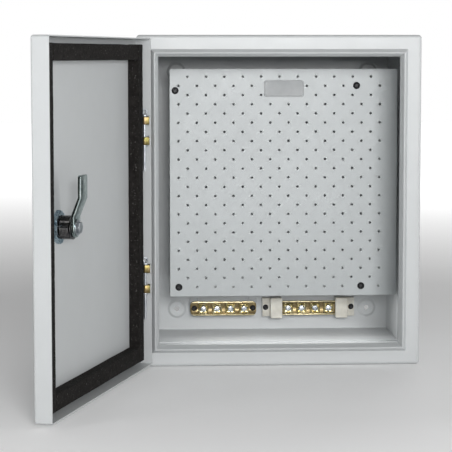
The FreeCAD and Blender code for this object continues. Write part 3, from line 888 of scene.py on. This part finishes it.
class CABINET_OT_gaskets(bpy.types.Operator):
    """Four foam strips inside the door and the rubber ring under the lock's collar"""
    bl_idname = "cabinet.gaskets"
    bl_label = "Make the gaskets"

    def execute(self, context):
        look = context.scene.cabinet_look
        for seed, node in enumerate(("gasket_top", "gasket_bottom", "gasket_hinge_side",
                                     "gasket_lock_side"), start=1):
            foam_strip(node, "door", look, seed)
        ring = flat_ring("lock_seal", -2.2 * MM, 0.3 * MM, LOCK_FACETS)
        finish_piece(ring, "lock_seal_ring", "door", "foam_rubber", ("lock_seal",))
        return {"FINISHED"}


class CABINET_OT_plate_fittings(bpy.types.Operator):
    """Screws, posts and blank name plate of the mounting plate"""
    bl_idname = "cabinet.plate_fittings"
    bl_label = "Make the plate's fittings"

    def execute(self, context):
        look = context.scene.cabinet_look
        domed_screws("plate_screws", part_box("mounting_plate")[0].y, look.screw_turn, look.seed)
        rounded_copy("plate_posts", "turned", "cabinet", "white_zinc", 0.4 * MM)
        low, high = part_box("name_plate")
        middle = (low + high) / 2
        depth = high.y - low.y
        label = dished_model((high.x - low.x) / 2, (high.z - low.z) / 2, depth, 3.0 * MM, 0.0,
                             LABEL_STEPS)
        label.transform(Matrix.Translation((middle.x, high.y, middle.z)))
        finish_piece(label, "name_plate_blank", "cabinet", "label_plastic", ("name_plate",))
        return {"FINISHED"}


class CABINET_OT_terminals(bpy.types.Operator):
    """Earth and neutral bars with clamps, screws, standoffs and insulators"""
    bl_idname = "cabinet.terminals"
    bl_label = "Make the terminal bars"

    def execute(self, context):
        look = context.scene.cabinet_look
        for offset, name in enumerate(("earth", "neutral")):
            rounded_copy(name + "_bar", "pressed", "cabinet", "brass", 0.35 * MM)
            _, low, high = islands(name + "_clamps")[0]
            half, depth = (high.x - low.x) / 2, high.y - low.y
            model = dished_model(half, half, depth, 1.5 * MM, 0.15,
                                 ((0.0, depth / MM - 0.3), *CLAMP_STEPS))
            repeated(name + "_clamps", "saddle", model, high.y, "brass", math.radians(2.5),
                     look.seed + offset, "brass_clamp")
            screws = name + "_clamp_screws"
            radius, front, rear = screw_sizes(screws)
            model = cheese_head_model(radius, low.y - front, 1.9 * MM, rear - low.y)
            repeated(screws, "slotted", model, low.y, "white_zinc", look.screw_turn,
                     look.seed + 3 + offset)
            screws = name + "_fixing_screws"
            domed_screws(screws, screw_sizes(screws)[1] + 3.0 * MM, look.screw_turn,
                         look.seed + 7 + offset)
        rounded_copy("earth_standoffs", "turned", "cabinet", "white_zinc", 0.4 * MM)
        for side in ("left", "right"):
            rounded_copy("neutral_insulator_" + side, "moulded", "cabinet",
                         "insulator_plastic", 0.5 * MM, 3)
        return {"FINISHED"}


class CABINET_OT_welds(bpy.types.Operator):
    """Weld runs at the corners of the rear pan and beside the earth bar's posts"""
    bl_idname = "cabinet.welds"
    bl_label = "Make the welds"

    def execute(self, context):
        low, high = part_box("rear_pan")
        inset, wall = 2.3 * MM, high.y - 1.9 * MM
        runs = []
        for x in (low.x + inset, high.x - inset):
            for z in (low.z + inset, high.z - inset):
                runs.append((Vector((x, wall, z)), Vector((x, low.y + 6 * MM, z)), 0.55 * MM))
        for centre, _, _ in islands("earth_standoffs"):
            for beside in (-6.2 * MM, 6.2 * MM):
                foot = Vector((centre.x + beside, wall + 0.5 * MM, centre.z + 5.5 * MM))
                runs.append((foot, foot + Vector((-0.4 * beside, 0.0, 5.0 * MM)), 0.8 * MM))
        joined = bmesh.new()
        for seed, (start, end, height) in enumerate(runs, start=1):
            joined.from_mesh(weld_bead(start, end, height, seed))
        mesh = bpy.data.meshes.new("welds")
        joined.to_mesh(mesh)
        joined.free()
        finish_piece(mesh, "pan_welds", "cabinet", "cabinet_paint")
        return {"FINISHED"}


class CABINET_OT_hinges(bpy.types.Operator):
    """Hinge leaves, brackets and wire pins"""
    bl_idname = "cabinet.hinges"
    bl_label = "Make the hinges"

    def execute(self, context):
        width = context.scene.cabinet_look.edge_rounding
        for place in ("upper", "lower"):
            rounded_copy(place + "_hinge_leaf", "rolled", "cabinet", "yellow_zinc", width)
            rounded_copy(place + "_hinge_bracket", "bent", "door", "white_zinc", width)
            hinge_pin(place + "_hinge_pin", place + "_hinge_pin")
        return {"FINISHED"}


class CABINET_OT_lock(bpy.types.Operator):
    """Lock barrel, nut, core, cranked cam, washer and bolt"""
    bl_idname = "cabinet.lock"
    bl_label = "Make the lock"

    def execute(self, context):
        low, high = closed_box("lock_housing")
        collar = (high.x - low.x) / 2
        skin, end = low.y + 5.0 * MM, high.y
        barrel, bore, mouth = 11.0 * MM, 5.05 * MM, 8.0 * MM
        recess_floor, seal_face, thread_from = skin - 0.5 * MM, skin - 1.0 * MM, skin + 6.6 * MM
        arris, dome, chamfer = 0.3 * MM, 1.5 * MM, 0.5 * MM
        loop = [(bore, recess_floor), (mouth, recess_floor), (mouth, low.y + arris),
                (mouth + arris, low.y)]
        loop += arc((collar - dome, low.y + dome), dome, -90, 0, 6)
        loop += [(collar, seal_face - arris), (collar - arris, seal_face), (barrel, seal_face),
                 (barrel, thread_from - 0.2 * MM)]
        pitch, depth, turns = 1.25 * MM, 0.35 * MM, 8
        for turn in range(turns):
            start = thread_from + turn * pitch
            loop += [(barrel - depth, start + pitch * 0.42), (barrel - depth, start + pitch * 0.58),
                     (barrel, start + pitch * 0.94), (barrel, start + pitch)]
        loop += [(barrel, end - chamfer), (barrel - chamfer, end), (bore + 0.4 * MM, end),
                 (bore, end - 0.4 * MM)]
        mesh = turned_on_lock(loop, LOCK_FACETS)
        finish_piece(mesh, "lock_barrel_threaded", "door", "lock_chrome", ("lock_housing",))
        rounded_copy("lock_nut", "hexagonal", "door", "white_zinc", 0.3 * MM, look="blue_zinc")
        rounded_copy("lock_core", "turned", "lock_cam", "lock_chrome", 0.2 * MM)
        rounded_copy("cam_lever", "cranked", "lock_cam", "lock_chrome", 0.5 * MM, 3, "cam_plating")
        ring = flat_ring("cam_washer", 2.1 * MM, 0.25 * MM, 64)
        finish_piece(ring, "cam_washer_stamped", "lock_cam", "white_zinc", ("cam_washer",))
        rounded_copy("cam_bolt", "hexagonal", "lock_cam", "white_zinc", 0.5 * MM, 3)
        return {"FINISHED"}


def soft_box(name, place, target, size, power):
    """A rectangular area light aimed at a point."""
    light = bpy.data.lights.new(name, "AREA")
    light.shape = "RECTANGLE"
    light.size, light.size_y = size
    light.energy = power
    lamp = bpy.data.objects.new(name, light)
    lamp.location = place
    lamp.rotation_euler = (Vector(target) - Vector(place)).to_track_quat("-Z", "Y").to_euler()
    bpy.context.scene.collection.objects.link(lamp)
    return lamp


def surroundings(bright, dim):
    """White low down behind the cabinet, and dim overhead and in front."""
    world = bpy.data.worlds.new("plain_surroundings")
    world.use_nodes = True
    tree = world.node_tree
    direction = add_node(tree, "ShaderNodeTexCoord").outputs["Generated"]
    split = add_node(tree, "ShaderNodeSeparateXYZ", {"Vector": direction}).outputs
    behind = map_range(tree, split["Y"], -0.1, 0.6, 0.0, 1.0)
    low_down = map_range(tree, split["Z"], 0.12, 0.45, 1.0, 0.0)
    both = add_node(tree, "ShaderNodeMath", {0: behind, 1: low_down}, "MULTIPLY").outputs[0]
    background = tree.nodes["Background"].inputs
    background["Color"].default_value = (1.0, 1.0, 1.0, 1.0)
    tree.links.new(map_range(tree, both, 0.0, 1.0, dim, bright), background["Strength"])
    return world


class CABINET_OT_stage(bpy.types.Operator):
    """Pale floor, plain surroundings, soft boxes and camera"""
    bl_idname = "cabinet.stage"
    bl_label = "Set the stage"

    def execute(self, context):
        scene = context.scene
        stage = scene.cabinet_stage
        scene.world = surroundings(stage.background, stage.room_level)
        level, reach = CAD_BOX[0].z - 0.5 * MM, 6.0
        floor_mesh = bpy.data.meshes.new("floor")
        floor_mesh.from_pydata([(x * reach, y * reach, level)
                                for x, y in ((-1, -1), (1, -1), (1, 1), (-1, 1))],
                               [], [(0, 1, 2, 3)])
        floor_mesh.materials.append(pale_floor("pale_floor"))
        floor = bpy.data.objects.new("floor", floor_mesh)
        scene.collection.objects.link(floor)
        middle = (0.0, -0.15, 0.0)
        strip = soft_box("strip_light", (0.014, -0.100, -0.121), (0.014, -0.080, -0.22),
                         (0.24, 0.02), stage.strip_power)
        strip.visible_camera = False
        strip.visible_glossy = False
        lights = [
            soft_box("soft_box_front", (0.10, -2.40, 0.38), middle, (0.55, 0.40),
                     stage.front_power),
            soft_box("soft_box_left", (-1.90, -1.50, 0.50), middle, (0.8, 1.0),
                     stage.left_power),
            soft_box("soft_box_right", (1.90, -0.95, 0.40), middle, (0.6, 0.9),
                     stage.right_power),
            soft_box("soft_box_top", (-0.10, -1.45, 1.55), middle, (1.2, 0.6),
                     stage.top_power),
            soft_box("soft_box_rear", (0.90, 2.20, 1.10), middle, (1.0, 0.8),
                     stage.rear_power),
            strip,
        ]
        camera_data = bpy.data.cameras.new("camera")
        camera_data.lens = stage.camera_lens
        camera_data.sensor_width = 36.0
        camera_data.shift_y = stage.camera_shift
        camera_data.clip_start, camera_data.clip_end = 0.05, 50.0
        camera_data.dof.use_dof = False
        camera = bpy.data.objects.new("camera", camera_data)
        camera.location = stage.camera_place
        camera.rotation_euler = (math.radians(90) - stage.camera_pitch, stage.camera_roll,
                                 -stage.camera_yaw)
        scene.collection.objects.link(camera)
        scene.camera = camera
        scene.view_settings.view_transform = "Standard"
        scene.view_settings.look = "None"
        return {"FINISHED"}


OPERATORS = (CABINET_OT_sheet_metal, CABINET_OT_gaskets, CABINET_OT_plate_fittings,
             CABINET_OT_terminals, CABINET_OT_welds, CABINET_OT_hinges, CABINET_OT_lock,
             CABINET_OT_stage)


class CABINET_PT_looks(bpy.types.Panel):
    bl_label = "Switchboard cabinet"
    bl_idname = "CABINET_PT_looks"
    bl_space_type = "VIEW_3D"
    bl_region_type = "UI"
    bl_category = "Cabinet"

    def draw(self, context):
        for operator in OPERATORS:
            self.layout.operator(operator.bl_idname)
        for group in (context.scene.cabinet_look, context.scene.cabinet_stage):
            box = self.layout.box()
            for name in group.__annotations__:
                box.prop(group, name)


CLASSES = (CabinetLook, CabinetStage, *OPERATORS, CABINET_PT_looks)


def register():
    for cls in CLASSES:
        bpy.utils.register_class(cls)
    bpy.types.Scene.cabinet_look = PointerProperty(type=CabinetLook)
    bpy.types.Scene.cabinet_stage = PointerProperty(type=CabinetStage)


def unregister():
    del bpy.types.Scene.cabinet_stage
    del bpy.types.Scene.cabinet_look
    for cls in reversed(CLASSES):
        bpy.utils.unregister_class(cls)


def main():
    register()
    for operator in OPERATORS:
        group, name = operator.bl_idname.split(".")
        getattr(getattr(bpy.ops, group), name)()


if __name__ == "__main__":
    main()
